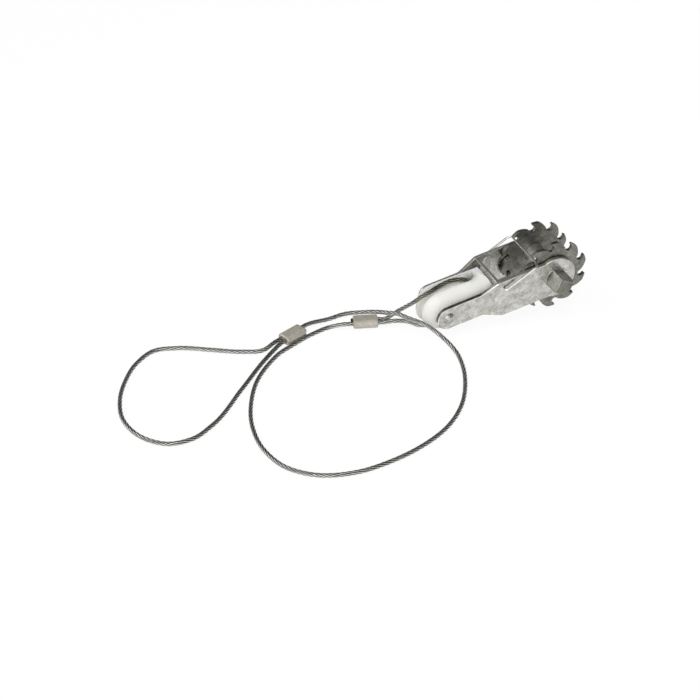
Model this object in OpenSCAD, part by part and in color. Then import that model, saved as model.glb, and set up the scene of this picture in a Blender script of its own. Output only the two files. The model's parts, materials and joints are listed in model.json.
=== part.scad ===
// Insulated ratchet wire strainer with a thimble eye and a wire-rope tail.
// Two steel side plates carry a winding spool at one end and a plastic thimble at the other.
// One stranded rope goes round the thimble, is gripped by a flattened sleeve, lies in a loop
// and ends in a second, larger eye with a sleeve of its own.
// Millimetres. +X runs from the rope to the spool, +Y from the square head to the far plate,
// +Z is up. The floor is Z = 0 and the part lies on it as it was put down.

/* [Spool] */
// Radius over the tips of the ratchet teeth
wheel_r = 28.5; // [25:0.5:33]
// Thickness of each ratchet wheel
wheel_t = 3; // [2:0.25:4]
// Number of teeth on each wheel
tooth_count = 10; // [9:1:12]
// Radius of the round gullet under each hooked tooth
gullet_r = 2.6; // [2.2:0.1:3]
// Depth of the gullet's centre below the tooth tips
gullet_depth = 3.9; // [3.4:0.1:4.6]
// Outside radius of the drum the wire winds on
drum_r = 10; // [9.4:0.1:13]
// Diameter of the axle bar
axle_d = 16.9; // [15.6:0.1:17.6]
// Size across the flats of the square drive head
square_af = 12; // [11:0.25:13]
// Length of the square head beyond the near plate
head_len = 14.5; // [10:0.5:20]
// Stub of the axle beyond the far plate
stub_len = 2.5; // [1.5:0.25:5]
// Diameter of the wire hole through drum and axle
wire_hole_d = 5; // [3:0.25:7]

/* [Side plates] */
// Thickness of each side plate
plate_t = 3; // [2:0.25:4]
// Clear width between the two plates
plate_gap = 34; // [30:0.5:40]
// Height of the wide part of a plate
plate_h = 31; // [28:0.5:36]
// Radius of the rounded end about the axle
plate_end_r = 17; // [16:0.25:20]
// Height of the narrow tail of a plate
tail_h = 18.6; // [15:0.2:22]
// Distance from the axle to the thimble rivet
rivet_l = 89.5; // [84:0.5:100]
// Length of the tail from the thimble rivet to the wide part, taper included
tail_l = 43; // [40:0.5:46]
// Length of the taper from the wide part to the tail
taper_l = 15; // [10:0.5:20]
// Distance by which the tail is set in towards the thimble
tail_set = 1.8; // [0.5:0.1:3]

/* [Bridge and bail] */
// Thickness of the bridge bracket's sheet
bridge_t = 2.5; // [1.5:0.25:3]
// Length of the bridge bracket's tabs along the plates
tab_l = 8.5; // [5:0.25:12]
// Height of the bridge bracket
bridge_h = 23; // [18:0.5:27]
// Wire diameter of the pawl bail
bail_d = 1.8; // [1.4:0.1:2.4]
// Distance from the thimble rivet to the bail's pivot holes
pivot_from_rivet = 46.2; // [45:0.2:48]
// Height of the bail's pivot holes above the axle
pivot_h = 8.3; // [6:0.1:10]
// Bend radius at the two corners of the bail's crossbar
corner_bend = 4; // [2:0.25:6]

/* [Thimble] */
// Radius of the thimble's flanges about the rivet
thimble_r = 16.7; // [15.5:0.1:19]
// Width of the thimble over its flanges
thimble_w = 26; // [24:0.5:27]
// Rounding of the flanges' outer edges
flange_round = 12; // [8:0.5:12.5]
// Radius of the hub that bears on the plates
hub_r = 8; // [5:0.5:9]
// Rounding of the thimble's corners at its spool end
thimble_corner = 5; // [2:0.5:8]
// Length of the straight part of the rope groove
groove_l = 16; // [10:0.5:17]
// Radius of the rope groove's floor in its bends
groove_floor_r = 13.6; // [12.5:0.1:14]
// Width of the rope groove at its mouth
groove_w = 9.8; // [9:0.2:10]
// Shank diameter of the rivet
rivet_d = 6; // [5:0.25:8]
// Head diameter of the rivet
rivet_head_d = 9.6; // [9:0.2:12]
// Height of the rivet's domed head
rivet_head_h = 2.6; // [1.5:0.1:4]
// Radius of the dimple in the rivet's heads
dimple_r = 1.9; // [1:0.1:2.6]
// Depth of the dimple below the top of the dome
dimple_h = 0.6; // [0.3:0.1:1]

/* [Rope and sleeves] */
// Rope diameter
rope_d = 3.2; // [2:0.1:3.2]
// Length of each rope sleeve
sleeve_l = 18.5; // [14:0.5:20]
// Width of each flattened sleeve
sleeve_w = 12; // [11:0.25:12.5]
// Thickness of each flattened sleeve
sleeve_t = 7.4; // [6:0.1:7.4]

/* [Hidden] */
$fn = 64;
// Clearances: turning shaft, side of the wheels, bail to plate, thimble to plate, thimble to
// bridge and bridge to the bend of the plate, rope in sleeve
run_c = 0.05;
wheel_c = 0.7;
bail_c = 1.2;
thimble_c = 0.25;
end_c = 0.4;
rope_c = 0.15;
// Part of the bail's gullet room that stays free below the seated wire
seat_c = 0.9;

in_y = plate_gap/2;
out_y = in_y + plate_t;
wheel_y = in_y - wheel_c;
drum_y = wheel_y - wheel_t;
axle_r = axle_d/2;
bail_r = bail_d/2;
rivet_r = rivet_d/2;
wide_l = rivet_l - tail_l;
tail_y = out_y - tail_set;

// The strainer leans back on its thimble: both rest on the floor
lean = asin((wheel_r - thimble_r)/rivet_l);
// Place of the rivet axis: behind and beside the origin, which is under the middle of the body
rivet_at = [-50.3, 6, thimble_r];
axle_at = rivet_at + rivet_l*[cos(lean), 0, sin(lean)];

// Ratchet teeth: the tip that holds the bail, then the others one pitch apart
tooth_a = 360/tooth_count;
catch_a = 123;
gullet_c = wheel_r - gullet_depth;
gullet_a = tooth_a - 1.9;
back_r = 14.4;
back_c = wheel_r - 12.7;
back_a = 7.8;
root_r = wheel_r - 9.5;

// Bail: from its pivot to its seat in the gullet
seat = polar(gullet_c, catch_a + tooth_a - gullet_a) - [0, gullet_r - bail_r - seat_c];
pivot_l = rivet_l - pivot_from_rivet;
pivot = [-pivot_l, pivot_h];
arm = seat - pivot;
arm_l = norm(arm);
arm_a = atan2(arm.y, arm.x);
bail_y = out_y + bail_c + bail_r;
bail_in = in_y - bridge_t - 1.2;
pivot_bend = bail_y - out_y;

// Bridge: its web stands behind the pivot, its top is level with the plates
web_l = pivot_l + bail_r + 0.6;
bridge_top = plate_h/2 - 0.5;

// Thimble: its spool end is an arc about the rivet that clears the bridge as the plates swing
bridge_back = web_l + bridge_t;
thimble_end_r = rivet_l - bridge_back - end_c;
corner_y = thimble_r - thimble_corner;
corner_x = sqrt(pow(thimble_end_r - thimble_corner, 2) - pow(corner_y, 2));
// The groove lies a little above the rivet, and runs on as a tunnel round the spool end
groove_up = 0.5;
tunnel_r = 22;

// Wire hole: near level, so that the wire leads straight out of the spool
hole_a = 20;

// Sleeves: centre, heading of the axis on the floor; two rope holes side by side
lie = 0.1;
hole_gap = 4.2;
sleeve_end = sleeve_l/2;
rope_stub = 1.5;
thimble_sleeve = [-100, 27.6, sleeve_t/2 + lie];
thimble_sleeve_a = -20;
eye_sleeve = [-156.2, 36, sleeve_t/2 + lie];
eye_sleeve_a = 18;

function polar(r, a) = [r*cos(a), r*sin(a)];

// Point on a sleeve's rope hole: side -1 is the near hole, +1 the far one, at t along its axis
function in_sleeve(c, a, side, t) =
    let (d = polar(1, a)) [c.x + d.x*t - d.y*side*hole_gap/2,
                           c.y + d.y*t + d.x*side*hole_gap/2, c.z];

// Rope route, end to end
dead_end = [for (t = [-sleeve_end - rope_stub, 0, sleeve_end, sleeve_end + 6])
    in_sleeve(thimble_sleeve, thimble_sleeve_a, 1, t)];
thimble_legs = [
    [-80.5, 24.1, 5.4], [-76.2, 23.2, 8.2], [-71.5, 16.7, 16], [-67.5, 9, 24.7], [-61.9, 6.4, 30],
    [-56.8, 6.2, 31.8], [-47.6, 7.8, 33.6], [-39.7, 7.8, 35.2], [-31.8, 6.8, 34.8],
    [-27.1, 6, 33.4], [-20.9, 6, 28], [-18.3, 6, 20], [-20.1, 6, 11.8], [-25.8, 6, 5.7],
    [-34.4, 6, 3.28], [-42.3, 6, 2.42], [-49, 6, 1.9], [-54.3, 6, 1.75], [-64.5, 8.9, 1.75],
    [-70.3, 15.4, 2.4], [-81.6, 19.2, 4]];
live_end = [for (t = [sleeve_end + 6, sleeve_end, -sleeve_end, -sleeve_end - 7])
    in_sleeve(thimble_sleeve, thimble_sleeve_a, -1, t)];
big_loop = [
    [-125.6, 35, 1.9], [-140.7, 33, 1.7], [-162.9, 25.7, 1.7], [-172.6, 21.9, 1.7],
    [-184.2, 14.2, 1.7], [-203.1, -3.6, 1.7], [-213.9, -19.8, 1.7], [-226.6, -50, 1.7],
    [-229.6, -78, 1.7], [-223.6, -101, 1.7], [-207.6, -118, 1.7], [-181.6, -127, 1.7],
    [-154.6, -126.6, 1.7], [-126.6, -120.6, 1.7], [-101.6, -109.4, 1.7], [-81.6, -92.4, 1.7],
    [-67.6, -72, 1.7], [-57.4, -47, 1.7], [-55, -33.2, 2], [-55.9, -25.2, 3.6],
    [-58.3, -15.2, 5.5], [-60.9, -11.6, 8], [-64.9, -4.9, 10.5], [-69.1, -0.4, 12],
    [-74.5, 7.6, 12.2], [-79.2, 16.8, 11.6], [-83.7, 22.7, 10], [-88.8, 31.3, 6.8],
    [-95.7, 40, 3], [-108.8, 45.4, 1.8], [-121.4, 44.8, 1.8]];
eye_in = [for (t = [sleeve_end + 6, sleeve_end, -sleeve_end, -sleeve_end - 6])
    in_sleeve(eye_sleeve, eye_sleeve_a, 1, t)];
end_eye = [
    [-182.6, 30.2, 1.9], [-197.6, 35.4, 1.7], [-216.6, 47, 1.7], [-238.6, 60, 1.7],
    [-255.6, 64.4, 1.7], [-272.6, 56, 1.7], [-288.6, 39, 1.7], [-300.6, 19, 1.7],
    [-306.6, -4, 1.7], [-301.6, -27, 1.7], [-287.6, -41.6, 1.7], [-269.6, -43.6, 1.7],
    [-251.6, -35.6, 1.7], [-215.6, -6, 1.7], [-185.6, 19.4, 1.8], [-176, 25.8, 2.6]];
eye_out = [for (t = [-sleeve_end - 4, -sleeve_end, 0, sleeve_end + rope_stub])
    in_sleeve(eye_sleeve, eye_sleeve_a, -1, t)];
route = concat(dead_end, thimble_legs, live_end, big_loop, eye_in, end_eye, eye_out);

// Smooth curve through the route, each span cut in n
function span_point(p, i, t) =
    let (a = p[max(i - 1, 0)], b = p[i], c = p[i + 1], d = p[min(i + 2, len(p) - 1)])
    0.5*(2*b + (c - a)*t + (2*a - 5*b + 4*c - d)*t*t + (3*b - a - 3*c + d)*t*t*t);
function curve(p, n) =
    [for (i = [0:len(p) - 2]) for (k = [0:n - 1]) span_point(p, i, k/n), p[len(p) - 1]];
function unit(v) = v/norm(v);
function heading(p, i) = unit(p[min(i + 1, len(p) - 1)] - p[max(i - 1, 0)]);
function square_to(v, t) = unit(v - t*(v*t));

// Least distance between two stretches of the rope that lie more than reach points apart
function own_gap(p, reach) =
    min([for (i = [0:len(p) - reach - 1])
        min([for (j = [i + reach:len(p) - 1]) norm(p[i] - p[j])])]) - rope_d;

// Puts a piece drawn in the strainer's own frame, axle at the origin, where it lies
module in_strainer() {
    translate(axle_at) rotate([0, -lean, 0]) children();
}

// Extrudes an outline of the strainer's side view from y0 to y1
module side(y0, y1) {
    translate([0, y1, 0]) rotate([90, 0, 0]) linear_extrude(y1 - y0) children();
}

// Round bar along Y
module bar(r, y0, y1, at = [0, 0]) {
    translate([at.x, y1, at.y]) rotate([90, 0, 0]) cylinder(r = r, h = y1 - y0);
}

// Solid of revolution about Y: the outline's x is the radius, its y the place along Y
module turned(at = [0, 0]) {
    translate([at.x, 0, at.y]) rotate([-90, 0, 0]) rotate_extrude() children();
}

module plate_outline() {
    circle(r = plate_end_r);
    translate([-rivet_l, 0]) circle(d = tail_h);
    polygon([[0, -plate_h/2], [0, plate_h/2], [-wide_l, plate_h/2],
             [-wide_l - taper_l, tail_h/2], [-rivet_l, tail_h/2], [-rivet_l, -tail_h/2],
             [-wide_l - taper_l, -tail_h/2], [-wide_l, -plate_h/2]]);
}

// Pressed plate: its tail is set in over the taper
module near_side_plate() {
    tail_end = -rivet_l - tail_h;
    color([0.72, 0.72, 0.7]) in_strainer() difference() {
        intersection() {
            side(-out_y, -in_y + tail_set) plate_outline();
            translate([0, 0, -plate_h]) linear_extrude(2*plate_h)
                polygon([[tail_end, -tail_y], [-wide_l - taper_l, -tail_y],
                         [-bridge_back - end_c, -out_y], [plate_end_r, -out_y],
                         [plate_end_r, -in_y], [-bridge_back - end_c, -in_y],
                         [-wide_l - taper_l, plate_t - tail_y], [tail_end, plate_t - tail_y]]);
        }
        bar(axle_r + run_c, -out_y - 1, 0);
        bar(rivet_r, -out_y - 1, 0, [-rivet_l, 0]);
        bar(bail_r + run_c, -out_y - 1, 0, pivot);
    }
}

module far_side_plate() {
    translate([0, 2*axle_at.y, 0]) mirror([0, 1, 0]) near_side_plate();
}

module bridge_bracket() {
    color([0.66, 0.66, 0.64]) in_strainer() difference() {
        translate([-web_l - bridge_t, -in_y, bridge_top - bridge_h])
            cube([bridge_t + tab_l, plate_gap, bridge_h]);
        translate([-web_l, -in_y + bridge_t, bridge_top - bridge_h - 1])
            cube([tab_l + 1, plate_gap - 2*bridge_t, bridge_h + 2]);
        bar(bail_r + run_c, -out_y, out_y, pivot);
    }
}

// Side view of the thimble: round about the rivet, straight sides, an arc with round corners
module thimble_outline() {
    circle(r = thimble_r);
    translate([0, -thimble_r]) square([corner_x, 2*thimble_r]);
    for (s = [-1, 1]) translate([corner_x, s*corner_y]) circle(r = thimble_corner);
    intersection() {
        circle(r = thimble_end_r);
        polygon([[0, 0], 2*[corner_x, -corner_y], 2*[corner_x, corner_y]]);
    }
}

// Section of the rope groove: x is the distance from the centre of the bend
module groove_section() {
    half = groove_w/2;
    polygon([[groove_floor_r, 1.3 - half], [thimble_r, -half], [tunnel_r - 3, -half],
             [tunnel_r, -half/2], [tunnel_r, half/2], [tunnel_r - 3, half], [thimble_r, half],
             [groove_floor_r, half - 1.3]]);
}

// Half a turn of the groove, round the end that turn points to
module groove_bend(x, turn) {
    translate([x, 0, 0]) rotate([-90, 0, 0]) rotate(turn) rotate_extrude(angle = 180)
        groove_section();
}

module rope_groove() {
    groove_bend(0, 90);
    groove_bend(groove_l, -90);
    for (s = [0, 1]) mirror([0, 0, s]) rotate([90, 0, 90]) linear_extrude(groove_l)
        rotate(90) groove_section();
}

// Section of the thimble from its axis outwards, with the flanges' edges rounded
module thimble_section() {
    half = thimble_w/2;
    difference() {
        translate([0, -half]) square([thimble_r, thimble_w]);
        for (s = [-1, 1]) difference() {
            translate([thimble_r - flange_round, s > 0 ? half - flange_round : -half])
                square(flange_round);
            translate([thimble_r - flange_round, s*(half - flange_round)])
                circle(r = flange_round);
        }
    }
}

module thimble_insulator() {
    hub_y = tail_y - plate_t - thimble_c;
    color([0.93, 0.93, 0.91]) in_strainer() translate([-rivet_l, 0, 0]) difference() {
        union() {
            intersection() {
                union() {
                    turned() thimble_section();
                    for (s = [0, 1]) mirror([0, 0, s]) rotate([90, 0, 90])
                        linear_extrude(thimble_end_r) rotate(90) thimble_section();
                }
                side(-thimble_w/2, thimble_w/2) thimble_outline();
            }
            bar(hub_r, -hub_y, hub_y);
        }
        translate([0, 0, groove_up]) rope_groove();
        bar(rivet_r + run_c, -out_y, out_y);
    }
}

module rivet_head() {
    dome_r = (pow(rivet_head_d/2, 2) + pow(rivet_head_h, 2))/(2*rivet_head_h);
    difference() {
        intersection() {
            translate([0, rivet_head_h - dome_r]) circle(r = dome_r);
            square([rivet_head_d, rivet_head_h]);
        }
        translate([0, rivet_head_h - dimple_h]) square([dimple_r, rivet_head_h]);
    }
}

module thimble_rivet() {
    color([0.7, 0.7, 0.68]) in_strainer() {
        bar(rivet_r, -tail_y, tail_y, [-rivet_l, 0]);
        turned([-rivet_l, 0]) translate([0, tail_y]) rivet_head();
        turned([-rivet_l, 0]) mirror([0, 1]) translate([0, tail_y]) rivet_head();
    }
}

// One gap between two teeth: a round gullet under the next tip, then the rounded back
module tooth_gap() {
    translate(polar(gullet_c, -gullet_a)) circle(r = gullet_r);
    difference() {
        polygon([polar(wheel_r + 2, -6), polar(wheel_r + 2, -tooth_a/2),
                 polar(wheel_r + 2, 0.4 - tooth_a), polar(wheel_r, 0.4 - tooth_a),
                 polar(gullet_c, -gullet_a), polar(root_r, 7 - gullet_a)]);
        translate(polar(back_c, back_a)) circle(r = back_r);
    }
}

module ratchet_wheel(y0) {
    color([0.5, 0.5, 0.49]) in_strainer() side(y0, y0 + wheel_t) difference() {
        circle(r = wheel_r);
        for (i = [0:tooth_count - 1]) rotate(catch_a + i*tooth_a) tooth_gap();
        circle(r = axle_r);
    }
}

module near_ratchet_wheel() ratchet_wheel(-wheel_y);

module far_ratchet_wheel() ratchet_wheel(drum_y);

module wire_hole() {
    rotate([0, 90 - hole_a, 0]) cylinder(d = wire_hole_d, h = 2*drum_r + 2, center = true);
}

module drum() {
    color([0.52, 0.52, 0.51]) in_strainer() difference() {
        bar(drum_r, -drum_y, drum_y);
        bar(axle_r, -drum_y - 1, drum_y + 1);
        wire_hole();
    }
}

module axle() {
    bevel = 1;
    color([0.48, 0.48, 0.47]) in_strainer() difference() {
        union() {
            turned() polygon([[0, -out_y - 1], [axle_r, -out_y - 1],
                [axle_r, out_y + stub_len - bevel], [axle_r - bevel, out_y + stub_len],
                [0, out_y + stub_len]]);
            intersection() {
                turned() polygon([[0, -out_y - head_len], [axle_r - bevel, -out_y - head_len],
                    [axle_r, -out_y - head_len + bevel], [axle_r, -out_y], [0, -out_y]]);
                rotate([0, -56, 0]) translate([-square_af/2, -out_y - head_len, -square_af/2])
                    cube([square_af, head_len, square_af]);
            }
        }
        wire_hole();
    }
}

// Quarter bend of the bail wire in its own plane: r is the bend's radius, at its centre
module bail_bend(r, x, y, turn) {
    translate([x, y, 0]) rotate(turn) rotate_extrude(angle = 90)
        translate([r, 0]) circle(r = bail_r);
}

// The bail lies flat in its own plane: the pivot axis is Y, the arms run along X
module bail_wire() {
    for (s = [0, 1]) mirror([0, s, 0]) {
        bar(bail_r, bail_in, bail_y - pivot_bend);
        bail_bend(pivot_bend, pivot_bend, bail_y - pivot_bend, 90);
        translate([pivot_bend, bail_y, 0]) rotate([0, 90, 0])
            cylinder(r = bail_r, h = arm_l - pivot_bend - corner_bend);
        bail_bend(corner_bend, arm_l - corner_bend, bail_y - corner_bend, 0);
    }
    bar(bail_r, -bail_y + corner_bend, bail_y - corner_bend, [arm_l, 0]);
}

module pawl_bail() {
    color([0.78, 0.78, 0.77]) in_strainer()
        translate([pivot.x, 0, pivot.y]) rotate([0, -arm_a, 0]) bail_wire();
}

// Flattened sleeve with softened ends and two rope holes, along X
module sleeve() {
    soft = 0.8;
    half = sleeve_t/2;
    flat = sleeve_w - sleeve_t;
    ends = [[0, -sleeve_l/2], [half - soft, -sleeve_l/2], [half, -sleeve_l/2 + soft],
            [half, sleeve_l/2 - soft], [half - soft, sleeve_l/2], [0, sleeve_l/2]];
    rotate([0, 0, -90]) difference() {
        union() {
            for (s = [-1, 1]) translate([s*flat/2, 0, 0]) turned() polygon(ends);
            for (s = [0, 180]) rotate([0, s, 0]) translate([-flat/2, 0, 0])
                rotate([90, 0, 90]) linear_extrude(flat) rotate(90)
                    mirror([0, 1]) polygon(ends);
        }
        for (s = [-1, 1])
            bar(rope_d/2 + rope_c, -sleeve_l, sleeve_l, [s*hole_gap/2, 0]);
    }
}

module thimble_sleeve_clamp() {
    color([0.68, 0.66, 0.62]) translate(thimble_sleeve) rotate(thimble_sleeve_a) sleeve();
}

module eye_sleeve_clamp() {
    color([0.68, 0.66, 0.62]) translate(eye_sleeve) rotate(eye_sleeve_a) sleeve();
}

// One tube from end to end: a ring of rope_sides points at each point of the line
module wire_rope() {
    rope_sides = 8;
    cuts = 4;
    line = route;
    last = len(line) - 1;
    first_side = square_to([0, 0, 1], heading(line, 0));
    sides = [for (i = 0, v = first_side; i <= last;
        i = i + 1, v = square_to(v, heading(line, min(i, last)))) v];
    rings = [for (i = [0:last]) let (t = heading(line, i), u = sides[i], v = cross(t, u))
        for (k = [0:rope_sides - 1]) let (q = polar(rope_d/2, (k + 0.5)*360/rope_sides))
            line[i] + u*q.x + v*q.y];
    faces = concat(
        [[for (k = [0:rope_sides - 1]) k]],
        [for (i = [0:last - 1]) for (k = [0:rope_sides - 1])
            let (a = i*rope_sides + k, b = i*rope_sides + (k + 1)%rope_sides)
            each [[a, b + rope_sides, b], [a, a + rope_sides, b + rope_sides]]],
        [[for (k = [rope_sides - 1:-1:0]) last*rope_sides + k]]);
    echo(rope_least_own_gap = own_gap(curve(route, cuts), 10*cuts));
    color([0.5, 0.5, 0.5]) polyhedron(points = rings, faces = faces);
}

near_side_plate();
far_side_plate();
bridge_bracket();
thimble_insulator();
thimble_rivet();
drum();
near_ratchet_wheel();
far_ratchet_wheel();
axle();
pawl_bail();
thimble_sleeve_clamp();
eye_sleeve_clamp();
wire_rope();
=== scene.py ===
"""Looks of an insulated ratchet wire strainer with a thimble eye and a wire-rope tail."""

import json
import math

import bmesh
import bpy
import numpy as np
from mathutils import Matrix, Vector

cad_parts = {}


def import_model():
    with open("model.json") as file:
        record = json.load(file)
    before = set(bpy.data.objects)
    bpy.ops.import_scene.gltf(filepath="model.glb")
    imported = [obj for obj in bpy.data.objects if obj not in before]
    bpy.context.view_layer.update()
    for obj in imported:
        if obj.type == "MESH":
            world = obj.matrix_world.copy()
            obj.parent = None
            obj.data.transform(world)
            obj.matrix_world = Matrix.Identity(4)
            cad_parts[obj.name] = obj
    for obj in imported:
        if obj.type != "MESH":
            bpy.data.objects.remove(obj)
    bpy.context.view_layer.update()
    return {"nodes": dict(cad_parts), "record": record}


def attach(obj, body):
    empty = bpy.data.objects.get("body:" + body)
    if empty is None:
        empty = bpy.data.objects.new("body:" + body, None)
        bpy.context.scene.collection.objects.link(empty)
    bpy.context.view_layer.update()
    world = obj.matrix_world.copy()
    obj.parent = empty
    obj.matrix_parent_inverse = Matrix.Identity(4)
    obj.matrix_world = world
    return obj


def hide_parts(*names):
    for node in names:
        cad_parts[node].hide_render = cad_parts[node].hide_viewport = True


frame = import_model()
NODES = frame["nodes"]
RECORD = frame["record"]

# A millimetre in metres: sizes are written in millimetres, as on the real part
MM = 0.001

# Middles of the thimble's rivet, of the axle and between the bail's ends, from the joints there
JOINT_AT = {joint["name"]: tuple(joint["pos_m"]) for joint in RECORD["behaviour"]["joints"]}
RIVET = JOINT_AT["frame_swing"]
AXLE = JOINT_AT["spool_turn"]
BAIL_ENDS = JOINT_AT["bail_lift"]

# Camera: directions in degrees, picture's width and focal length in pixels, the pixel that shows
# the axle's middle, the scale there, and the width of Blender's sensor
CAMERA_AZIMUTH = -25.554
CAMERA_ELEVATION = 36.796
PICTURE = 700
FOCAL_PIXELS = 2516.96
AXLE_PIXEL = (542.57, 263.80)
PIXELS_PER_METRE = 1321.4
SENSOR_MM = 36

# Wire rope: strands round a core and the length of one turn of their lay
STRANDS = 6
LAY = 26 * MM
# A strand: radius, distance from the rope's middle, sides and length of a ring of its mesh, wires
# that show on it and the length of one of their turns
STRAND_R = 0.56 * MM
STRAND_AT = 1.14 * MM
STRAND_SIDES = 10
RING_STEP = 0.8 * MM
WIRES = 6
WIRE_LAY = 9 * MM
# Steps in which each span of the route is drawn before it is cut into rings
SPAN_STEPS = 24

# Rope sleeves, in millimetres: from middle to end, distance between the two rope holes, rope that
# stands out where it is cut, and straight rope that leads in or out, also to the big loop and
# back from the end eye
SLEEVE_END = 18.5 / 2
HOLE_GAP = 4.2
ROPE_STUB = 1.5
LEAD = 6
LOOP_LEAD = 7
RETURN_LEAD = 4
# Their middles, and their headings in degrees
THIMBLE_SLEEVE = (-100, 27.6, 3.8)
THIMBLE_SLEEVE_A = -20
EYE_SLEEVE = (-156.2, 36, 3.8)
EYE_SLEEVE_A = 18


def in_sleeve(centre, heading, side, along):
    """Points on a sleeve's rope hole, in millimetres: side -1 is the near hole, +1 the far one."""
    c, s = math.cos(math.radians(heading)), math.sin(math.radians(heading))
    off = side * HOLE_GAP / 2
    return [(centre[0] + c * t - s * off, centre[1] + s * t + c * off, centre[2]) for t in along]


# Route of the rope from end to end, in millimetres
DEAD_END = in_sleeve(THIMBLE_SLEEVE, THIMBLE_SLEEVE_A, 1,
                     (-SLEEVE_END - ROPE_STUB, 0, SLEEVE_END, SLEEVE_END + LEAD))
THIMBLE_LEGS = [
    (-80.5, 24.1, 5.4), (-76.2, 23.2, 8.2), (-71.5, 16.7, 16), (-67.5, 9, 24.7), (-61.9, 6.4, 30),
    (-56.8, 6.2, 31.8), (-47.6, 7.8, 33.6), (-39.7, 7.8, 35.2), (-31.8, 6.8, 34.8),
    (-27.1, 6, 33.4), (-20.9, 6, 28), (-18.3, 6, 20), (-20.1, 6, 11.8), (-25.8, 6, 5.7),
    (-34.4, 6, 3.28), (-42.3, 6, 2.42), (-49, 6, 1.9), (-54.3, 6, 1.75), (-64.5, 8.9, 1.75),
    (-70.3, 15.4, 2.4), (-81.6, 19.2, 4)]
LIVE_END = in_sleeve(THIMBLE_SLEEVE, THIMBLE_SLEEVE_A, -1,
                     (SLEEVE_END + LEAD, SLEEVE_END, -SLEEVE_END, -SLEEVE_END - LOOP_LEAD))
BIG_LOOP = [
    (-125.6, 35, 1.9), (-140.7, 33, 1.7), (-162.9, 25.7, 1.7), (-172.6, 21.9, 1.7),
    (-184.2, 14.2, 1.7), (-203.1, -3.6, 1.7), (-213.9, -19.8, 1.7), (-226.6, -50, 1.7),
    (-229.6, -78, 1.7), (-223.6, -101, 1.7), (-207.6, -118, 1.7), (-181.6, -127, 1.7),
    (-154.6, -126.6, 1.7), (-126.6, -120.6, 1.7), (-101.6, -109.4, 1.7), (-81.6, -92.4, 1.7),
    (-67.6, -72, 1.7), (-57.4, -47, 1.7), (-55, -33.2, 2), (-55.9, -25.2, 3.6),
    (-58.3, -15.2, 5.5), (-60.9, -11.6, 8), (-64.9, -4.9, 10.5), (-69.1, -0.4, 12),
    (-74.5, 7.6, 12.2), (-79.2, 16.8, 11.6), (-83.7, 22.7, 10), (-88.8, 31.3, 6.8),
    (-95.7, 40, 3), (-108.8, 45.4, 1.8), (-121.4, 44.8, 1.8)]
EYE_IN = in_sleeve(EYE_SLEEVE, EYE_SLEEVE_A, 1,
                   (SLEEVE_END + LEAD, SLEEVE_END, -SLEEVE_END, -SLEEVE_END - LEAD))
END_EYE = [
    (-182.6, 30.2, 1.9), (-197.6, 35.4, 1.7), (-216.6, 47, 1.7), (-238.6, 60, 1.7),
    (-255.6, 64.4, 1.7), (-272.6, 56, 1.7), (-288.6, 39, 1.7), (-300.6, 19, 1.7),
    (-306.6, -4, 1.7), (-301.6, -27, 1.7), (-287.6, -41.6, 1.7), (-269.6, -43.6, 1.7),
    (-251.6, -35.6, 1.7), (-215.6, -6, 1.7), (-185.6, 19.4, 1.8), (-176, 25.8, 2.6)]
EYE_OUT = in_sleeve(EYE_SLEEVE, EYE_SLEEVE_A, -1,
                    (-SLEEVE_END - RETURN_LEAD, -SLEEVE_END, 0, SLEEVE_END + ROPE_STUB))
ROUTE = DEAD_END + THIMBLE_LEGS + LIVE_END + BIG_LOOP + EYE_IN + END_EYE + EYE_OUT


def smooth_line(points, step):
    """Smooth curve through the points, cut into equal steps, and the length up to each cut."""
    p = np.array(points, float)
    chord = np.linalg.norm(np.diff(p, axis=0), axis=1)[:, None]
    way = np.diff(p, axis=0) / chord
    inner = (way[:-1] * chord[1:] + way[1:] * chord[:-1]) / (chord[:-1] + chord[1:])
    slope = np.vstack([way[:1], inner, way[-1:]])
    t = np.linspace(0, 1, SPAN_STEPS, endpoint=False)[:, None]
    spans = []
    for a, b, m, n, c in zip(p[:-1], p[1:], slope[:-1], slope[1:], chord):
        spans.append(a * (2 * t**3 - 3 * t**2 + 1) + b * (3 * t**2 - 2 * t**3)
                     + c * (m * (t**3 - 2 * t**2 + t) + n * (t**3 - t**2)))
    fine = np.vstack(spans + [p[-1:]])
    reach = np.concatenate([[0], np.cumsum(np.linalg.norm(np.diff(fine, axis=0), axis=1))])
    places = np.linspace(0, reach[-1], round(reach[-1] / step) + 1)
    return np.stack([np.interp(places, reach, fine[:, k]) for k in range(3)], axis=1), places


def headings(line):
    """Unit direction of a line at each of its points."""
    along = np.gradient(line, axis=0)
    return along / np.linalg.norm(along, axis=1, keepdims=True)


def side_vectors(line):
    """Two unit vectors square to a line at each point, carried along it without twist."""
    along = headings(line)
    first = np.cross(along[0], (0, 0, 1))
    sides = [first / np.linalg.norm(first)]
    for t in along[1:]:
        v = sides[-1] - t * np.dot(sides[-1], t)
        sides.append(v / np.linalg.norm(v))
    u = np.array(sides)
    return u, np.cross(along, u)


def placed(name, data):
    """New object in the scene that shows a mesh, a camera or a lamp."""
    made = bpy.data.objects.new(name, data)
    bpy.context.collection.objects.link(made)
    return made


def new_piece(name, verts, faces):
    """Smooth mesh object from points in metres, in the frame of the part."""
    mesh = bpy.data.meshes.new(name)
    mesh.from_pydata([tuple(v) for v in verts], [], faces)
    mesh.update()
    mesh.shade_smooth()
    return placed(name, mesh)


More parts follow.
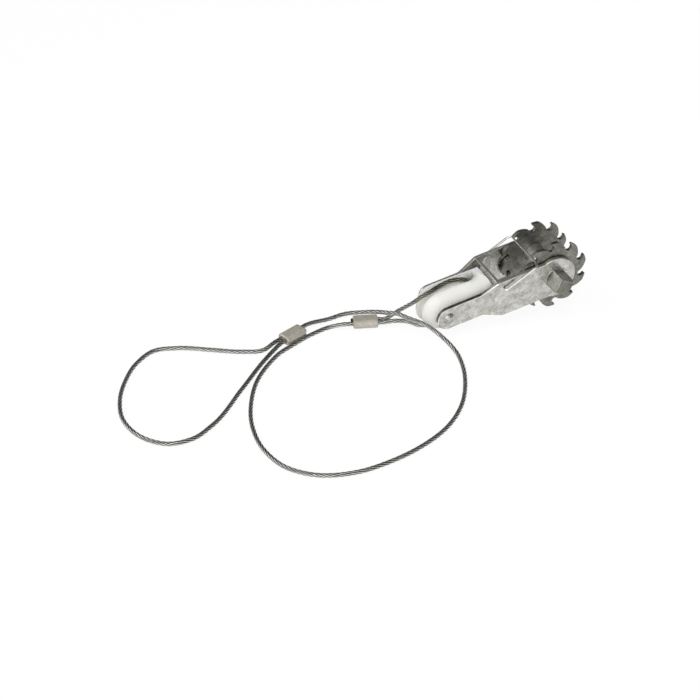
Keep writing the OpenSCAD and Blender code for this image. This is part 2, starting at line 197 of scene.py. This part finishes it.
def tube(line, outward, radius, sides):
    """Points and faces of a closed tube on a line; outward is the direction of its first side."""
    along = headings(line)
    u = outward - along * np.sum(outward * along, axis=1, keepdims=True)
    u /= np.linalg.norm(u, axis=1, keepdims=True)
    v = np.cross(along, u)
    turn = np.arange(sides) * 2 * math.pi / sides
    ring = u[:, None] * np.cos(turn)[None, :, None] + v[:, None] * np.sin(turn)[None, :, None]
    verts = (line[:, None] + ring * radius).reshape(-1, 3)
    faces = []
    for i in range(len(line) - 1):
        for k in range(sides):
            a, b = i * sides + k, i * sides + (k + 1) % sides
            faces.append((a, b, b + sides, a + sides))
    last = (len(line) - 1) * sides
    faces.append(tuple(range(sides))[::-1])
    faces.append(tuple(range(last, last + sides)))
    return verts, faces


def rope_strands(line, places):
    """Points, faces and each face's corners in the pattern of the rope's strands and core."""
    u, v = side_vectors(line)
    verts, faces, pattern, count = [], [], [], 0
    for k in range(STRANDS + 1):
        turn = (2 * math.pi * (places / LAY + k / STRANDS))[:, None]
        outward = u * np.cos(turn) + v * np.sin(turn)
        core = k == STRANDS
        centre = line if core else line + outward * STRAND_AT
        points, quads = tube(centre, outward, STRAND_R, STRAND_SIDES)
        for quad in quads:
            faces.append(tuple(i + count for i in quad))
            # The side that closes a ring ends at one full turn of the pattern, not at 0
            ring = [divmod(i, STRAND_SIDES) for i in quad]
            wrap = {0, STRAND_SIDES - 1} <= {r[1] for r in ring} and len(quad) == 4
            pattern += [((s + STRAND_SIDES * (wrap and s == 0)) / STRAND_SIDES, places[i])
                        for i, s in ring]
        verts.append(points)
        count += len(points)
    return np.vstack(verts), faces, pattern


def wire_rope():
    """The stranded rope on its route, and its length in metres."""
    line_mm, places_mm = smooth_line(ROUTE, RING_STEP / MM)
    line, places = line_mm * MM, places_mm * MM
    verts, faces, pattern = rope_strands(line, places)
    rope = new_piece("rope_strands", verts, faces)
    layer = rope.data.uv_layers.new(name="along_strand")
    layer.data.foreach_set("uv", np.array(pattern, float).ravel())
    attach(rope, "thimble")
    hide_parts("wire_rope")
    return rope, float(places[-1])


rope, ROPE_L = wire_rope()


def camera():
    """Camera that sees the axle's middle at its pixel and at the photo's scale."""
    data = bpy.data.cameras.new("camera")
    data.sensor_width = SENSOR_MM
    data.lens = FOCAL_PIXELS / PICTURE * SENSOR_MM
    eye = placed("camera", data)
    eye.rotation_euler = (math.radians(90 - CAMERA_ELEVATION), 0, math.radians(CAMERA_AZIMUTH))
    turn = eye.rotation_euler.to_matrix()
    to_axle = Vector((AXLE_PIXEL[0] - PICTURE / 2, PICTURE / 2 - AXLE_PIXEL[1], -FOCAL_PIXELS))
    eye.location = Vector(AXLE) - turn @ to_axle / PIXELS_PER_METRE
    bpy.context.scene.camera = eye


camera()


def add(tree, kind, sockets=None, **settings):
    """New shader node; sockets gives its inputs, as values or as other nodes' outputs."""
    made = tree.nodes.new(kind)
    for key, value in settings.items():
        setattr(made, key, value)
    for key, value in (sockets or {}).items():
        if isinstance(value, bpy.types.NodeSocket):
            tree.links.new(value, made.inputs[key])
        else:
            made.inputs[key].default_value = value
    return made


def coordinates(tree, kind="Object"):
    return add(tree, "ShaderNodeTexCoord").outputs[kind]


def parts(tree, vector):
    """The three numbers of a vector."""
    return tuple(add(tree, "ShaderNodeSeparateXYZ", {"Vector": vector}).outputs)


def maths(tree, operation, *terms, **settings):
    """Result of one operation on numbers."""
    sockets = dict(enumerate(terms))
    return add(tree, "ShaderNodeMath", sockets, operation=operation, **settings).outputs[0]


def vector_maths(tree, operation, *terms):
    """Result of one operation on vectors: a number for a length or a dot product."""
    made = add(tree, "ShaderNodeVectorMath", dict(enumerate(terms)), operation=operation)
    return made.outputs["Value" if operation in ("LENGTH", "DOT_PRODUCT") else "Vector"]


def ranged(tree, value, start, end):
    """Number that goes from 0 to 1 while a value goes from start to end."""
    sockets = {"Value": value, "From Min": start, "From Max": end}
    return add(tree, "ShaderNodeMapRange", sockets).outputs["Result"]


def noise(tree, place, scale, detail, **more):
    """Outputs of a noise texture; scale counts its features over one unit of place."""
    return add(tree, "ShaderNodeTexNoise",
               {"Vector": place, "Scale": scale, "Detail": detail, **more}).outputs


# How far red rises and blue falls in a warm grey
WARM_RED = 0.3
WARM_BLUE = 2


def grey(value, warm=0.0):
    """Grey as a colour, a little yellower where warm is above 0."""
    return (value * (1 + WARM_RED * warm), value, value * (1 - WARM_BLUE * warm), 1)


def shades(tree, factor, low, high, start=0.3, end=0.7):
    """Colour ramp from low to high, by default over the middle of a texture's range."""
    ramp = add(tree, "ShaderNodeValToRGB", {"Fac": factor})
    for element, place, colour in zip(ramp.color_ramp.elements, (start, end), (low, high)):
        element.position = place
        element.color = colour
    return ramp.outputs["Color"]


# Sockets of a Mix node that are in use when it mixes colours
MIX_SHARE, MIX_A, MIX_B, MIX_RESULT = 0, 6, 7, 2


def mixed(tree, share, a, b, kind="MIX"):
    """Colour a with a share of colour b over it."""
    made = add(tree, "ShaderNodeMix", data_type="RGBA", blend_type=kind,
               sockets={MIX_SHARE: share, MIX_A: a, MIX_B: b})
    return made.outputs[MIX_RESULT]


def new_material(name, **shader):
    """Material with a Principled shader whose own sockets hold the given values."""
    made = bpy.data.materials.new(name)
    made.use_nodes = True
    tree = made.node_tree
    principled = tree.nodes["Principled BSDF"]
    for key, value in shader.items():
        principled.inputs[key.replace("_", " ")].default_value = value
    return made, tree, principled


def painted(tree, shader, colour):
    tree.links.new(colour, shader.inputs["Base Color"])


def dented(tree, shader, height, strength, depth):
    """Small dents in a surface; depth is in metres."""
    dent = add(tree, "ShaderNodeBump",
               {"Height": height, "Strength": strength, "Distance": depth})
    tree.links.new(dent.outputs["Normal"], shader.inputs["Normal"])


# Axle and drum: where the drive head begins, a radius outside the drum and inside the wheels'
# teeth, how squarely a face looks along the axle while drawn steel gives way to zinc, and the
# directions in which a radius is measured
HEAD_Y = -13 * MM
DRAWN_R = 12 * MM
END_FACE = (0.7, 0.95)
ACROSS_AXLE = (1, 0, 1)


def drawn_steel(tree, place, coated, head, drum):
    """Bare steel on the sides of the axle's drive head and of the drum, and zinc elsewhere."""
    along_axle = parts(tree, coordinates(tree, "Normal"))[1]
    at_end = ranged(tree, maths(tree, "ABSOLUTE", along_axle), *END_FACE)
    from_axle = vector_maths(tree, "SUBTRACT", place, AXLE)
    outward = vector_maths(tree, "MULTIPLY", from_axle, ACROSS_AXLE)
    radius = vector_maths(tree, "LENGTH", outward)
    on_wheel = maths(tree, "GREATER_THAN", radius, DRAWN_R)
    on_drum = maths(tree, "GREATER_THAN", parts(tree, place)[1], HEAD_Y)
    bare = mixed(tree, on_drum, head, drum)
    return mixed(tree, maths(tree, "MAXIMUM", at_end, on_wheel), bare, coated)


# Side plates: middle between them, least distance of their outer edges from it, where the tail
# begins, and holes in the side view with a radius that takes in each hole's edge
PLATES_Y = AXLE[1]
PLATE_OUTER = 17.5 * MM
TAIL_X = -20.5 * MM
HOLES = ((AXLE, 9.5 * MM), (RIVET, 4 * MM), (BAIL_ENDS, 2 * MM))
# Their edges that look up and to the thimble, with a painted highlight on the rounded corners and
# a painted shade on the near tail's edge: direction, how squarely a rounded corner and the edge
# itself look that way, and the length over which the near tail's painted shade sets in
UPPER_EDGE = (-0.7, 0, 0.7)
CORNER_FACE = (0.1, 0.3)
EDGE_FACE = (0.5, 0.62)
TAIL_FADE = 4 * MM


def edge_highlight_and_shade(tree, place, coated, corner_highlight, tail):
    """Painted highlight on the plates' upper corners, and painted shade on the near tail's upper
    edge.
    """
    rising = vector_maths(tree, "DOT_PRODUCT", coordinates(tree, "Normal"), UPPER_EDGE)
    # Painted highlight on corners that face up and to the thimble
    toned = mixed(tree, ranged(tree, rising, *CORNER_FACE), coated, corner_highlight)
    x, y, _ = parts(tree, place)
    # Painted shade on the near tail's upper edge
    on_tail = ranged(tree, x, TAIL_X, TAIL_X - TAIL_FADE)
    on_edge = maths(tree, "MULTIPLY", on_tail, ranged(tree, rising, *EDGE_FACE))
    is_near = maths(tree, "LESS_THAN", y, PLATES_Y)
    return mixed(tree, maths(tree, "MULTIPLY", on_edge, is_near), toned, tail)


# Zinc: stretch of the noise between its dark and light tone, how far blotches bend the crystals'
# outlines, and the crystals' roughness below and above the mean
ZINC_RANGE = (0.36, 0.62)
CRYSTAL_BEND = 0.012
ROUGH_LESS = 0.1
ROUGH_MORE = 0.12
# Its marks: darkest and lightest tone, stretch of the texture between them, and their share
CRYSTAL_TONES = (0.78, 1.15, 0.0, 1.0, 0.7)
SPECK_TONES = (0.45, 1.05, 0.3, 0.46, 0.8)
SCRATCH_TONES = (0.62, 1.06, 0.3, 0.46, 0.7)
# Scratches: how often the noise changes along and across them, and their slope in radians
SCRATCH_STRETCH = (110, 900, 700)
SCRATCH_SLOPE = (0, 0.6, 0)


def zinc(name, dark, light, rough, crystals, drawn=None, edges=None):
    """Zinc-coated steel: crystal patches, fine mottling, dark specks and scratches.

    drawn gives the colours for bare drawn steel, and edges those of the edges' painted highlight
    and painted shade.
    """
    made, tree, shader = new_material(name, Metallic=1.0, Roughness=rough)
    place = coordinates(tree)
    blotch = noise(tree, place, scale=160, detail=8, Roughness=0.72)
    bent = mixed(tree, CRYSTAL_BEND, place, blotch["Color"], "ADD")
    cells = add(tree, "ShaderNodeTexVoronoi", {"Vector": bent, "Scale": crystals})
    crystal = add(tree, "ShaderNodeSeparateColor", {"Color": cells.outputs["Color"]}).outputs
    specks = noise(tree, place, scale=620, detail=4, Roughness=0.65)
    streaks = add(tree, "ShaderNodeMapping",
                  {"Vector": place, "Scale": SCRATCH_STRETCH, "Rotation": SCRATCH_SLOPE})
    scratch = noise(tree, streaks.outputs["Vector"], scale=3, detail=4, Distortion=0.6)
    toned = shades(tree, blotch["Fac"], dark, light, *ZINC_RANGE)
    if drawn:
        toned = drawn_steel(tree, place, toned, *drawn)
    for mark, tones in ((crystal["Red"], CRYSTAL_TONES), (specks["Fac"], SPECK_TONES),
                        (scratch["Fac"], SCRATCH_TONES)):
        darkest, lightest, start, end, share = tones
        pattern = shades(tree, mark, grey(darkest), grey(lightest), start, end)
        toned = mixed(tree, share, toned, pattern, "MULTIPLY")
    if edges:
        toned = edge_highlight_and_shade(tree, place, toned, *edges)
    painted(tree, shader, toned)
    gloss = add(tree, "ShaderNodeMapRange", {"Value": crystal["Green"],
                                             "To Min": rough - ROUGH_LESS,
                                             "To Max": rough + ROUGH_MORE})
    tree.links.new(gloss.outputs["Result"], shader.inputs["Roughness"])
    height = mixed(tree, share=0.5, a=blotch["Color"], b=scratch["Color"])
    dented(tree, shader, height, strength=0.12, depth=0.4 * MM)
    return made


def spring_wire():
    """Bright drawn wire with fine marks."""
    made, tree, shader = new_material("spring_wire", Metallic=1.0, Roughness=0.15)
    marks = noise(tree, coordinates(tree), scale=500, detail=4)["Fac"]
    painted(tree, shader, shades(tree, marks, grey(0.7, 0.03), grey(0.88, 0.03)))
    dented(tree, shader, marks, strength=0.08, depth=0.2 * MM)
    return made


def sleeve_aluminium():
    """Pressed aluminium: warm, matt and cloudy, with small dents."""
    made, tree, shader = new_material("sleeve_aluminium", Metallic=0.35, Roughness=0.5)
    cloud = noise(tree, coordinates(tree), scale=350, detail=5)["Fac"]
    painted(tree, shader, shades(tree, cloud, (0.41, 0.382, 0.33, 1), (0.54, 0.505, 0.44, 1)))
    dented(tree, shader, cloud, strength=0.25, depth=0.3 * MM)
    return made


def insulator_plastic():
    """White moulded plastic that lets a little light through."""
    made, tree, shader = new_material("insulator_plastic", Roughness=0.38, Subsurface_Weight=0.9,
                                      Subsurface_Scale=12 * MM,
                                      Subsurface_Radius=(1.0, 0.95, 0.9))
    place = coordinates(tree)
    cloud = noise(tree, place, scale=60, detail=3)["Fac"]
    painted(tree, shader, shades(tree, cloud, grey(0.82, 0.03), grey(0.86, 0.028)))
    grain = noise(tree, place, scale=1500, detail=2)["Fac"]
    dented(tree, shader, grain, strength=0.05, depth=0.2 * MM)
    return made


# Rope: part of a turn round a strand in which its bright crown darkens to the dirt and painted
# shade in the gap beside it, part of a wire's width in which the painted shade at its rim
# lightens, distances from the rope's ends between which a painted shade darkens it to the cut, and
# heights over which a painted shade darkens it where it lies in the thimble's groove
CROWN_END = (0.08, 0.2)
WIRE_RIM = (0.0, 0.45)
CUT_END_SHADE = (3 * MM, 1.5 * MM)
GROOVE_SHADE_Z = (18 * MM, 28 * MM)


def rope_steel(length):
    """Zinc-coated strands: bright crowns, dirt and painted shade between them, fine wires with
    painted shade at their rims, painted shade at the cut ends and in the thimble's groove.
    """
    made, tree, shader = new_material("rope_steel", Metallic=0.95, Roughness=0.26)
    on_strand = add(tree, "ShaderNodeUVMap", uv_map="along_strand").outputs["UV"]
    around, along, _ = parts(tree, on_strand)
    place = coordinates(tree)
    dirt = noise(tree, place, scale=420, detail=4)["Fac"]
    toned = shades(tree, dirt, grey(0.5, 0.03), grey(0.84, 0.025))
    # Dirt and painted shade in the gaps between the strands
    from_crown = maths(tree, "PINGPONG", around, 0.5)
    strand_gap_shade = shades(tree, from_crown, grey(1.0), grey(0.06), *CROWN_END)
    toned = mixed(tree, 1, toned, strand_gap_shade, "MULTIPLY")
    # Fine wires: painted shade at each wire's rim, with dents from the same pattern
    turned = maths(tree, "MULTIPLY", around, WIRES)
    wound = maths(tree, "MULTIPLY", along, WIRES / WIRE_LAY)
    wave = maths(tree, "PINGPONG", maths(tree, "SUBTRACT", turned, wound), 1)
    toned = mixed(tree, 1, toned, shades(tree, wave, grey(0.72), grey(1.0), *WIRE_RIM), "MULTIPLY")
    # Painted shade: near black over the last millimetres at the rope's cut ends
    from_middle = maths(tree, "ABSOLUTE", maths(tree, "SUBTRACT", along, length / 2))
    cut = ranged(tree, from_middle, *(length / 2 - end for end in CUT_END_SHADE))
    toned = mixed(tree, cut, toned, grey(0.02))
    # Painted shade on the rope where it lies high in the thimble's groove
    groove_shade = ranged(tree, parts(tree, place)[2], *GROOVE_SHADE_Z)
    toned = mixed(tree, groove_shade, toned, grey(0.5, 0.05), "MULTIPLY")
    painted(tree, shader, toned)
    dented(tree, shader, wave, strength=0.25, depth=0.12 * MM)
    return made


MATERIALS = {
    # Plates' edges: a painted highlight colour on the upper corners, a painted shade colour on the
    # near tail's edge
    "galvanised_plate": zinc("galvanised_plate", grey(0.42, 0.035), grey(0.62, 0.035), rough=0.28,
                             crystals=260, edges=(grey(0.92, 0.02), grey(0.2, 0.04))),
    "spool_steel": zinc("spool_steel", grey(0.15, 0.06), grey(0.27, 0.06), rough=0.42,
                        crystals=220, drawn=(grey(0.62, 0.03), grey(0.95, 0.04))),
    "rivet_steel": zinc("rivet_steel", grey(0.42, 0.035), grey(0.58, 0.035), rough=0.45,
                        crystals=400),
    "spring_wire": spring_wire(),
    "sleeve_aluminium": sleeve_aluminium(),
    "insulator_plastic": insulator_plastic(),
    "rope_steel": rope_steel(ROPE_L),
}


def dress(piece, slot_name):
    piece.data.materials.clear()
    piece.data.materials.append(MATERIALS[slot_name])


# Edge rounding of each node in millimetres, for plates also that of the outer edges and the tail's
# outer edges; a node that isn't listed keeps its CAD edges
EDGES_MM = {
    "near_side_plate": (0.3, 0.9, 0.9), "far_side_plate": (0.3, 0.9, 2.2),
    "bridge_bracket": (0.4,), "near_ratchet_wheel": (0.3,), "far_ratchet_wheel": (0.3,),
    "axle": (0.45,), "drum": (0.25,),
}
ROUNDING_STEPS = 4
# Turn from which an edge counts as sharp, turn up to which faces count as one, and the distance
# within which points are one point
SHARP_TURN = math.radians(30)
FLAT_TURN = math.radians(0.5)
SAME_POINT = 0.001 * MM


def is_at_hole(edge):
    return any(np.hypot(v.co.x - hole[0], v.co.z - hole[2]) < radius
               for v in edge.verts for hole, radius in HOLES)


def rounding(edge, width_mm, outer_mm=0, tail_mm=0):
    """Rounding of one edge in millimetres, from its node's row in EDGES_MM."""
    if not edge.is_convex or edge.calc_face_angle() < SHARP_TURN:
        return 0
    if not outer_mm:
        return width_mm
    if is_at_hole(edge):
        return 0
    if min(abs(v.co.y - PLATES_Y) for v in edge.verts) <= PLATE_OUTER:
        return width_mm
    return tail_mm if max(v.co.x for v in edge.verts) < TAIL_X else outer_mm


def softened(node):
    """Copy of a CAD node with its sharp edges rounded."""
    widths_mm = EDGES_MM[node]
    shape = bmesh.new()
    shape.from_mesh(NODES[node].data)
    bmesh.ops.remove_doubles(shape, verts=shape.verts, dist=SAME_POINT)
    bmesh.ops.dissolve_limit(shape, angle_limit=FLAT_TURN, verts=shape.verts, edges=shape.edges)
    weight = shape.edges.layers.float.new("bevel_weight_edge")
    for edge in shape.edges:
        edge[weight] = rounding(edge, *widths_mm) / max(widths_mm)
    mesh = bpy.data.meshes.new(node + "_soft")
    shape.to_mesh(mesh)
    shape.free()
    mesh.shade_smooth()
    piece = placed(node + "_soft", mesh)
    round_edges = piece.modifiers.new("round_edges", "BEVEL")
    round_edges.limit_method = "WEIGHT"
    round_edges.width = max(widths_mm) * MM
    round_edges.segments = ROUNDING_STEPS
    round_edges.use_clamp_overlap = False
    round_edges.loop_slide = False
    piece.modifiers.new("flat_faces", "WEIGHTED_NORMAL").keep_sharp = True
    return piece


# Upper shoulders of the insulator: distances from its middle where they start, are full, begin to
# fall and end, where they run out towards the spool, and how much fuller than in CAD they are
SHOULDER = (4 * MM, 8 * MM, 10.5 * MM, 13 * MM)
SHOULDER_END_X = (-34 * MM, -24 * MM)
SHOULDER_MORE = 0.9 * MM


def fuller_insulator():
    """Copy of the insulator whose upper shoulders are a little fuller, as in the photo."""
    mesh = NODES["thimble_insulator"].data.copy()
    mesh.name = "thimble_insulator_full"
    moved = []
    for vertex in mesh.vertices:
        off = abs(vertex.co.y - PLATES_Y)
        share = np.interp(off, SHOULDER, (0, 1, 1, 0)) * max(0, vertex.normal.z)
        share *= np.interp(vertex.co.x, SHOULDER_END_X, (1, 0))
        moved.append(vertex.co + vertex.normal * SHOULDER_MORE * share)
    for vertex, place in zip(mesh.vertices, moved):
        vertex.co = place
    return placed(mesh.name, mesh)


BODY_OF = {node: body for body, nodes in RECORD["behaviour"]["bodies"].items() for node in nodes}
SLOT_OF = {sub["node"]: sub["material_slot"] for sub in RECORD["subparts"]}

for node_name, node_object in NODES.items():
    if node_name == "wire_rope":
        continue
    shown = node_object
    if node_name in EDGES_MM:
        shown = softened(node_name)
    elif node_name == "thimble_insulator":
        shown = fuller_insulator()
    if shown is not node_object:
        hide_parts(node_name)
        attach(shown, BODY_OF[node_name])
    dress(shown, SLOT_OF[node_name])
dress(rope, "rope_steel")


# Floor, in metres, with the paint that takes shadows, the white that the camera and the metal see
# and the white's share there
FLOOR_Z = -0.2 * MM
FLOOR_SIZE = 12.0
FLOOR_PAINT = 0.9
FLOOR_WHITE = 1.03
FLOOR_WHITE_SHARE = 0.88
# Studio: strength of the light all round, and soft boxes with the direction they lie in, the
# cosines at their rim and at their full part, and their strength
WORLD_DARK = 0.14
SOFT_BOXES = (
    ((-0.44, -0.86, 0.29), 0.6, 0.93, 1.1),
    ((-0.72, 0.28, 0.63), 0.84, 0.97, 1.3),
)
# Lamps: place and size in metres, power in watts, and whether metal mirrors them
LAMPS = {
    "front_left": ((-1.1, -1.3, 0.9), 0.9, 5, True),
    "top": ((-0.1, -0.15, 1.5), 0.8, 5.5, False),
    "back_left": ((-1.25, 0.5, 1.1), 0.7, 2.5, True),
    "fill_right": ((0.7, -0.2, 1.2), 1.0, 4.5, False),
}
LAMP_AIM = (0, 0, 20 * MM)


def floor():
    """Pale floor that looks nearly white and keeps the object's shadow."""
    half = FLOOR_SIZE / 2
    corners = [(x * half, y * half, FLOOR_Z) for x, y in ((-1, -1), (1, -1), (1, 1), (-1, 1))]
    plane = new_piece("floor", corners, [(0, 1, 2, 3)])
    made = bpy.data.materials.new("floor")
    made.use_nodes = True
    tree = made.node_tree
    tree.nodes.clear()
    ray = add(tree, "ShaderNodeLightPath").outputs
    seen = maths(tree, "ADD", ray["Is Camera Ray"], ray["Is Glossy Ray"])
    seen = maths(tree, "ADD", seen, ray["Is Transmission Ray"], use_clamp=True)
    share = maths(tree, "MULTIPLY", seen, FLOOR_WHITE_SHARE)
    paint = add(tree, "ShaderNodeBsdfDiffuse", {"Color": grey(FLOOR_PAINT)})
    white = add(tree, "ShaderNodeEmission", {"Color": grey(1), "Strength": FLOOR_WHITE})
    both = add(tree, "ShaderNodeMixShader", {0: share, 1: paint.outputs[0], 2: white.outputs[0]})
    add(tree, "ShaderNodeOutputMaterial", {"Surface": both.outputs[0]})
    plane.data.materials.append(made)


def world():
    """Dim surroundings with the soft boxes that the metal mirrors."""
    made = bpy.data.worlds.new("studio")
    made.use_nodes = True
    tree = made.node_tree
    place = coordinates(tree, "Generated")
    light = WORLD_DARK
    for direction, rim, full, strength in SOFT_BOXES:
        near = vector_maths(tree, "DOT_PRODUCT", place, Vector(direction).normalized())
        box = add(tree, "ShaderNodeMapRange", {"Value": near, "From Min": rim, "From Max": full,
                                               "To Max": strength},
                  interpolation_type="SMOOTHSTEP")
        light = maths(tree, "ADD", light, box.outputs["Result"])
    back = tree.nodes["Background"]
    tree.links.new(light, back.inputs["Strength"])
    back.inputs["Color"].default_value = grey(1)
    bpy.context.scene.world = made


def lamp(name, place, size, power, mirrored):
    """Square lamp that shines on the middle of the object."""
    data = bpy.data.lights.new(name, "AREA")
    data.size = size
    data.energy = power
    made = placed(name, data)
    made.location = place
    made.rotation_euler = (Vector(LAMP_AIM) - Vector(place)).to_track_quat("-Z", "Y").to_euler()
    made.visible_glossy = mirrored


floor()
world()
for lamp_name, lamp_row in LAMPS.items():
    lamp(lamp_name, *lamp_row)
bpy.context.scene.view_settings.view_transform = "Standard"
